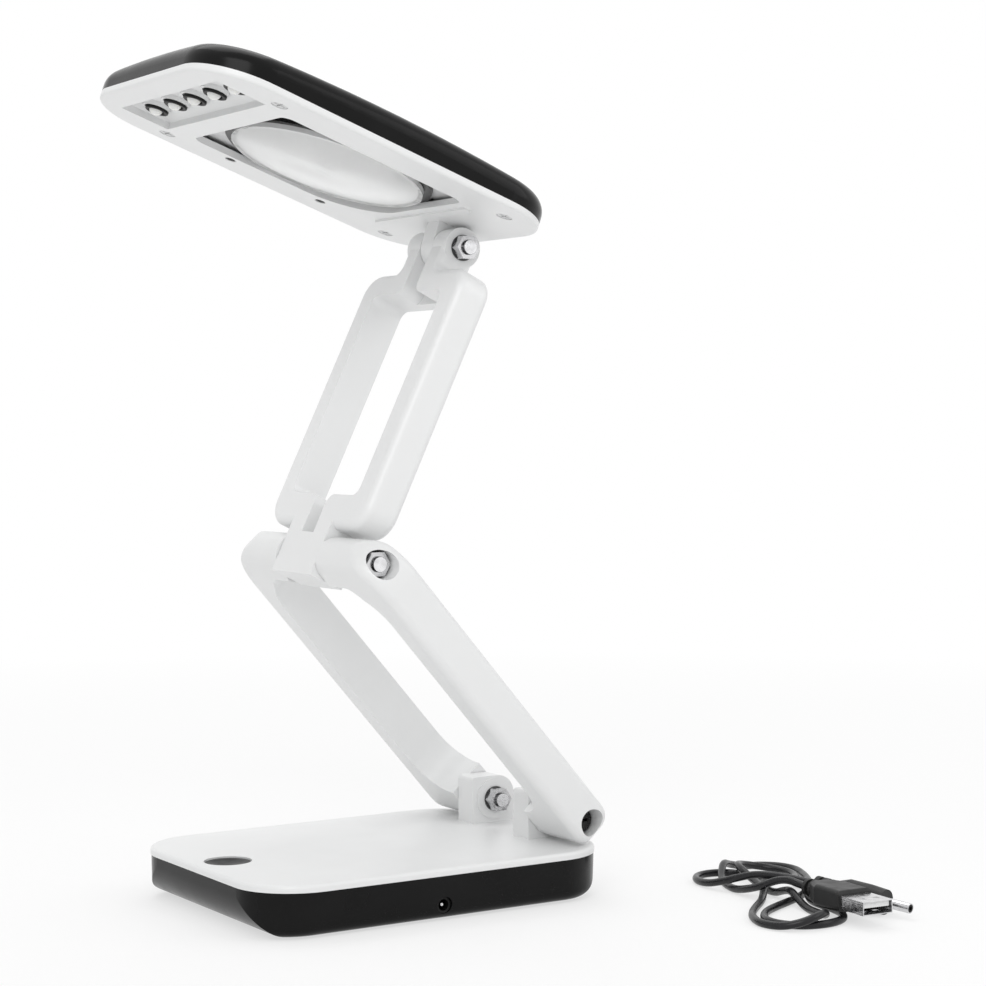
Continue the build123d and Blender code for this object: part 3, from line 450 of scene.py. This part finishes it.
def looped_mesh(name, loops, turn):
    """A closed mesh from loops of points, each joined to the next and the last to the first"""
    work = bmesh.new()
    rows = [[work.verts.new(point) for point in loop] for loop in loops]
    for here, after in zip(rows, rows[1:] + rows[:1]):
        for j in range(len(here)):
            k = (j + 1) % len(here)
            work.faces.new((here[j], after[j], after[k], here[k]))
    bmesh.ops.recalc_face_normals(work, faces=work.faces)
    bmesh.ops.transform(work, matrix=turn, verts=work.verts)
    mesh = bpy.data.meshes.new(name)
    work.to_mesh(mesh)
    work.free()
    return mesh


def ring_mesh(name, profile, turn, sides):
    """A smooth ring turned from a closed profile of (radius, height) points about its own Z"""
    loops = []
    for i in range(sides):
        angle = 2 * math.pi * i / sides
        loops.append([(radius * math.cos(angle), radius * math.sin(angle), height)
                      for radius, height in profile])
    mesh = looped_mesh(name, loops, turn)
    for face in mesh.polygons:
        face.use_smooth = True
    return mesh


def centre_of(node):
    low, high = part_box(node)
    return (low + high) / 2


def head_frame():
    """The head's own frame: X from its tip to its heel, Z up from its face, origin on the tilt hinge"""
    pivot = centre_of("tilt_hinge_bolt")
    return Matrix.Translation((pivot.x, 0.0, pivot.z)) @ Matrix.Rotation(sizes().head_tilt, 4, "Y")


class LAMP_OT_stage(bpy.types.Operator):
    """Floor, daylight, area lights and the camera"""

    bl_idname = "lamp.stage"
    bl_label = "Stage"

    def execute(self, context):
        scene = context.scene
        scene.view_settings.view_transform = "Standard"
        self.floor()
        self.daylight(scene)
        for name, place, side, power in light_panels:
            self.panel(name, place, side, power)
        self.camera(scene)
        return {"FINISHED"}

    def floor(self):
        mesh = bpy.data.meshes.new("floor")
        half = floor_half
        corners = [(-half, -half, 0), (half, -half, 0), (half, half, 0), (-half, half, 0)]
        mesh.from_pydata(corners, [], [(0, 1, 2, 3)])
        floor = new_object("floor", mesh)
        finish = Finish("pale floor", (0.93, 0.93, 0.93), 0.9)
        finish.set("Specular IOR Level", 0.1)
        tree = finish.tree
        glow = tree.nodes.new("ShaderNodeEmission")
        glow.inputs["Color"].default_value = (1.0, 1.0, 1.0, 1.0)
        glow.inputs["Strength"].default_value = 1.0
        distance = tree.nodes.new("ShaderNodeVectorMath")
        distance.operation = "LENGTH"
        share = tree.nodes.new("ShaderNodeMath")
        share.operation = "MULTIPLY"
        mix = tree.nodes.new("ShaderNodeMixShader")
        tree.links.new(finish.place, distance.inputs[0])
        glow_share = finish.spread(distance.outputs["Value"], floor_near_glow, 1.0, *floor_fade)
        tree.links.new(glow_share, share.inputs[0])
        tree.links.new(self.seen_directly(tree), share.inputs[1])
        tree.links.new(share.outputs[0], mix.inputs["Fac"])
        tree.links.new(finish.shader.outputs["BSDF"], mix.inputs[1])
        tree.links.new(glow.outputs["Emission"], mix.inputs[2])
        tree.links.new(mix.outputs["Shader"], tree.nodes["Material Output"].inputs["Surface"])
        mesh.materials.append(finish.material)

    def seen_directly(self, tree):
        """1 where the camera sees it, also in a reflection or through the lens, else 0"""
        path = tree.nodes.new("ShaderNodeLightPath")
        value = path.outputs["Is Camera Ray"]
        for label in ("Is Glossy Ray", "Is Transmission Ray"):
            either = tree.nodes.new("ShaderNodeMath")
            either.operation = "MAXIMUM"
            tree.links.new(value, either.inputs[0])
            tree.links.new(path.outputs[label], either.inputs[1])
            value = either.outputs[0]
        return value

    def daylight(self, scene):
        world = bpy.data.worlds.new("daylight")
        world.use_nodes = True
        tree = world.node_tree
        sky = tree.nodes["Background"]
        sky.inputs["Color"].default_value = (1.0, 1.0, 1.0, 1.0)
        strength = tree.nodes.new("ShaderNodeMapRange")
        strength.inputs["To Min"].default_value = daylight_strength
        strength.inputs["To Max"].default_value = backdrop_strength
        tree.links.new(self.seen_directly(tree), strength.inputs["Value"])
        tree.links.new(strength.outputs["Result"], sky.inputs["Strength"])
        scene.world = world

    def panel(self, name, place, side, power):
        light = bpy.data.lights.new(name, "AREA")
        light.size = side
        light.energy = power
        lamp = new_object(name, light)
        lamp.location = place
        aim = light_target - Vector(place)
        lamp.rotation_euler = aim.to_track_quat("-Z", "Y").to_euler()

    def camera(self, scene):
        azimuth, elevation, roll = (math.radians(angle) for angle in camera_angles)
        back = Vector((math.sin(azimuth) * math.cos(elevation), -math.cos(azimuth) * math.cos(elevation),
                       math.sin(elevation)))
        right = (-back).cross(Vector((0, 0, 1))).normalized()
        up = right.cross(-back)
        side = right * math.cos(roll) + up * math.sin(roll)
        top = up * math.cos(roll) - right * math.sin(roll)
        lens = bpy.data.cameras.new("camera")
        lens.lens = camera_focal_length
        lens.sensor_width = camera_sensor_width
        lens.clip_start = 0.01
        camera = new_object("camera", lens)
        turn = Matrix((side, top, back)).transposed().to_4x4()
        camera.matrix_world = Matrix.Translation(camera_place) @ turn
        scene.camera = camera


class LAMP_OT_lead(bpy.types.Operator):
    """Charging lead with its two plugs"""

    bl_idname = "lamp.lead"
    bl_label = "Charging lead"

    def execute(self, context):
        curve = bpy.data.curves.new("charging_lead", "CURVE")
        curve.dimensions = "3D"
        curve.bevel_depth = sizes().lead_diameter / 2
        curve.bevel_resolution = 8
        curve.resolution_u = 10
        curve.use_fill_caps = True
        spline = curve.splines.new("NURBS")
        points = [self.place(point) for point in lead_route]
        spline.points.add(len(points) - 1)
        for slot, point in zip(spline.points, points):
            slot.co = (*point, 1.0)
        spline.order_u = 3
        spline.use_endpoint_u = True
        lead = new_object("charging_lead", curve)
        curve.materials.append(lead_sheath())
        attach(lead, "base")
        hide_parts("charging_cable")
        dress(["usb_plug_body", "dc_plug_body"], satin_black("plug moulding", 2.4, 0.3))
        dress(["dc_tip_insulator"], satin_black("plug core"))
        dress(["usb_shell", "dc_barrel"], bright_metal("bright nickel", "Z", 1.1, 0.2))
        dress(["usb_tongue"], moulded_white("plug tongue", 0.95))
        return {"FINISHED"}

    def place(self, point):
        spot = Matrix.Rotation(lead_turn, 3, "Z") @ (Vector(point) * mm)
        return spot + lead_centre


class LAMP_OT_base(bpy.types.Operator):
    """Base tub, top plate, feet and what lies inside"""

    bl_idname = "lamp.base"
    bl_label = "Base"

    def execute(self, context):
        dress(["base_tub"], polished_black("base tub black"))
        dress(["base_top_plate"], moulded_white("base plate white"))
        dress(numbered("foot_pad", 4), foot_rubber())
        dress(numbered("base_screw", 4), dark_metal())
        dress(["power_button"], satin_black("button", 1.4, 0.14))
        dress(["push_switch"], satin_black("switch body"))
        dress(["dc_jack"], satin_black("socket body"))
        dress(["circuit_board"], green_board())
        dress(["battery"], battery_sleeve())
        self.socket_pin()
        return {"FINISHED"}

    def socket_pin(self):
        """Bright sleeve on the pin of the charging socket"""
        bore, tip, radius, bevel, length = 0.05 * mm, 0.45 * mm, 0.72 * mm, 0.25 * mm, 5.0 * mm
        tip_depth, axis_height = 0.85 * mm, 5.6 * mm
        profile = [(bore, 0.0), (tip, 0.0), (radius, bevel), (radius, length), (bore, length)]
        low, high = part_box("dc_jack")
        turn = Matrix.Translation(((low.x + high.x) / 2, low.y + tip_depth, axis_height))
        turn = turn @ Matrix.Rotation(-math.pi / 2, 4, "X")
        pin = new_object("socket_pin", ring_mesh("socket_pin", profile, turn, 20))
        pin.data.materials.append(bright_metal("pin nickel", "Y", 1.2, 0.18))
        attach(pin, "base")


class LAMP_OT_links(bpy.types.Operator):
    """The two folding links"""

    bl_idname = "lamp.links"
    bl_label = "Links"

    def execute(self, context):
        dress(["lower_arm"], moulded_white("lower link white"))
        dress(["upper_arm"], moulded_white("upper link white"))
        return {"FINISHED"}


class LAMP_OT_head(bpy.types.Operator):
    """Head panel, cover, lens and lamps"""

    bl_idname = "lamp.head"
    bl_label = "Head"

    def execute(self, context):
        dress(["head_panel"], moulded_white("head panel white"))
        dress(["head_cover"], polished_black("head cover black"))
        dress(["led_tray"], moulded_white("lamp tray white", 0.97))
        dress(["magnifier_lens"], lens_resin())
        dress(["led_board"], green_board())
        dress(numbered("led_lamp", sizes().lamp_count), lamp_resin())
        dress(numbered("head_screw", 4), coated_screw())
        self.lamp_rings()
        self.lens_well()
        self.sensors()
        self.lens_carrier()
        return {"FINISHED"}

    def lamp_rings(self):
        """Dark rings of painted shade that fill the collars round the lamps, standing in for the shade
        in the gaps between the lamps and the tray's holes
        """
        inner, outer = sizes().ring_inner, sizes().ring_outer
        face, inner_edge, outer_edge, back = 10.35 * mm, 10.6 * mm, 10.5 * mm, 12.55 * mm
        profile = [(inner, back), (inner, inner_edge), (inner + 0.25 * mm, face),
                   (outer - 0.2 * mm, face), (outer, outer_edge), (outer, back)]
        names = numbered("led_lamp", sizes().lamp_count)
        places = [centre_of(name) for name in names]
        middle = sum(places, Vector()) / len(places)
        row = head_frame().inverted() @ middle
        piece = new_object("lamp_ring_piece", ring_mesh("lamp_ring_piece", profile, Matrix(), 40))
        turn = Matrix.Translation(-middle) @ head_frame() @ Matrix.Translation((row.x, 0.0, 0.0))
        piece.data.transform(turn)
        # The rings' black is painted shade for the gaps round the lamps
        tree = repeat_tree("lamp shade rings", satin_black("lamp gap painted shade"))
        step = (places[-1] - places[0]) / (len(places) - 1)
        rings = repeated("lamp_rings", tree, piece, len(places), places[0], step)
        bpy.data.objects.remove(piece)
        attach(rings, "head")

    def lens_well(self):
        """White lining of the well over the lens, its white brightened above the shell's as painted
        light against the shade inside the well
        """
        wall, bevel, low, high = 0.65 * mm, 0.3 * mm, 11.55 * mm, 21.0 * mm
        outer = sizes().well_radius
        inner = outer - wall
        profile = [(inner, low), (outer, low), (outer, high - bevel), (outer - bevel, high),
                   (inner, high)]
        centre = head_frame().inverted() @ centre_of("magnifier_lens")
        turn = head_frame() @ Matrix.Translation((centre.x, 0.0, 0.0))
        well = new_object("lens_well", ring_mesh("lens_well", profile, turn, 96))
        # The share of 1.12 brightens the white as painted light, lifting the shaded wall of the well
        well.data.materials.append(moulded_white("lens well white with painted light", 1.12))
        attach(well, "head")

    def lens_carrier(self):
        """Pale plate behind the corners of the lens opening, round the lens's seat"""
        hole, half_x, half_y, corner_cut = 37.5 * mm, 43.0 * mm, 48.0 * mm, 14.0 * mm
        least_width, low, high = 0.4 * mm, 12.2 * mm, 13.0 * mm
        corner = math.hypot(half_x, half_y) - corner_cut
        centre = head_frame().inverted() @ centre_of("magnifier_lens")
        sides = 96
        angles = [2 * math.pi * (i + 0.5) / sides for i in range(sides)]
        inner = [hole] * sides
        outer = [max(hole + least_width,
                     min(half_x / abs(math.cos(angle)), half_y / abs(math.sin(angle)), corner))
                 for angle in angles]
        loops = []
        for radii, height in ((inner, low), (outer, low), (outer, high), (inner, high)):
            loops.append([(centre.x + radius * math.cos(angle), radius * math.sin(angle), height)
                          for angle, radius in zip(angles, radii)])
        carrier = new_object("lens_carrier", looped_mesh("lens_carrier", loops, head_frame()))
        carrier.data.materials.append(moulded_white("lens carrier white", 0.9))
        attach(carrier, "head")

    def sensors(self):
        """Dark domed windows in the two sensor holes"""
        profile = [(radius * mm, height * mm) for radius, height in sensor_outline]
        piece = new_object("sensor_piece", ring_mesh("sensor_piece", profile, Matrix(), 24))
        piece.data.transform(head_frame().to_3x3().to_4x4())
        tree = repeat_tree("sensor windows", satin_black("sensor window", 1.0, 0.1))
        start, end = (head_frame() @ Vector((x * mm, y * mm, 0.0)) for x, y in sensor_places)
        windows = repeated("sensor_windows", tree, piece, len(sensor_places), start, end - start)
        bpy.data.objects.remove(piece)
        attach(windows, "head")


class LAMP_OT_fasteners(bpy.types.Operator):
    """Hinge bolts, nuts and washers, with the thread past each nut"""

    bl_idname = "lamp.fasteners"
    bl_label = "Hinge fasteners"

    def execute(self, context):
        base_bolts = ["base_hinge_near_bolt", "base_hinge_far_bolt"]
        dress(hinge_pieces("bolt"), bright_metal("bolt zinc", "Y", 1.3, 0.24))
        # The base bolts get painted shade on their heads, where they sit deep in the counterbores
        dress(base_bolts, self.bolt_with_painted_head_shade())
        dress(hinge_pieces("nut"), bright_metal("nut zinc", "Y", 1.1, 0.2))
        dress(hinge_pieces("washer"), bright_metal("washer zinc", "Y", 0.12, 0.32))
        bore, root, crest, half_width = 2.2 * mm, 2.38 * mm, 2.62 * mm, 0.13 * mm
        nut_gap = 0.2 * mm
        profile = [(root, -half_width), (crest, 0.0), (root, half_width), (bore, 0.0)]
        turn = Matrix.Rotation(math.pi / 2, 4, "X")
        piece = new_object("thread_turn", ring_mesh("thread_turn", profile, turn, 32))
        tree = repeat_tree("thread turns", bright_metal("thread zinc", "Y", 0.12, 0.3))
        for line, body, way in hinge_lines:
            low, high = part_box(line + "_nut")
            middle = (low + high) / 2
            face = high.y if way > 0 else low.y
            first = (middle.x, face + way * nut_gap, middle.z)
            step = (0.0, way * sizes().thread_pitch, 0.0)
            turns = repeated(line + "_thread", tree, piece, sizes().thread_turns, first, step)
            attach(turns, body)
        bpy.data.objects.remove(piece)
        return {"FINISHED"}

    def bolt_with_painted_head_shade(self):
        """Bright thread and shank, and painted shade darkening the head, which lies further from the
        lamp's middle, deep in its counterbore
        """
        bright_to, painted_shade_from = 27 * mm, 29 * mm
        finish = Finish("bolt with painted head shade", colours().metal, 0.26, 1.0)
        tree = finish.tree
        parts = tree.nodes.new("ShaderNodeSeparateXYZ")
        side = tree.nodes.new("ShaderNodeMath")
        side.operation = "ABSOLUTE"
        ramp = tree.nodes.new("ShaderNodeValToRGB")
        ramp.color_ramp.elements[0].color = (*shade(colours().metal, 1.3), 1.0)
        # The dark stop is painted shade: the metal darkened to stand in for the shade over the head in
        # its counterbore
        ramp.color_ramp.elements[1].color = (*shade(colours().metal, 0.07), 1.0)
        tree.links.new(finish.place, parts.inputs["Vector"])
        tree.links.new(parts.outputs["Y"], side.inputs[0])
        painted_shade_share = finish.spread(side.outputs[0], 0.0, 1.0, bright_to, painted_shade_from)
        tree.links.new(painted_shade_share, ramp.inputs["Fac"])
        tree.links.new(ramp.outputs["Color"], finish.shader.inputs["Base Color"])
        finish.vary_roughness(1.6 * mm, 0.2, 0.36)
        finish.grain(0.3 * mm, 0.008 * mm, 0.4)
        return finish.material


class LAMP_PT_panel(bpy.types.Panel):
    """Lists the lamp's pieces, sizes and colours"""

    bl_idname = "LAMP_PT_panel"
    bl_label = "Desk Lamp"
    bl_space_type = "VIEW_3D"
    bl_region_type = "UI"
    bl_category = "Desk Lamp"

    def draw(self, context):
        layout = self.layout
        for operator in operators:
            layout.operator(operator.bl_idname)
        for group in (context.scene.lamp_sizes, context.scene.lamp_colours):
            box = layout.box()
            for name in group.__annotations__:
                box.prop(group, name)


operators = (LAMP_OT_stage, LAMP_OT_base, LAMP_OT_links, LAMP_OT_head, LAMP_OT_fasteners, LAMP_OT_lead)
classes = (LampSizes, LampColours, *operators, LAMP_PT_panel)


def register():
    for item in classes:
        bpy.utils.register_class(item)
    bpy.types.Scene.lamp_sizes = bpy.props.PointerProperty(type=LampSizes)
    bpy.types.Scene.lamp_colours = bpy.props.PointerProperty(type=LampColours)


def unregister():
    del bpy.types.Scene.lamp_colours
    del bpy.types.Scene.lamp_sizes
    for item in reversed(classes):
        bpy.utils.unregister_class(item)


def main():
    register()
    bpy.ops.lamp.stage()
    bpy.ops.lamp.base()
    bpy.ops.lamp.links()
    bpy.ops.lamp.head()
    bpy.ops.lamp.fasteners()
    bpy.ops.lamp.lead()


if __name__ == "__main__":
    main()
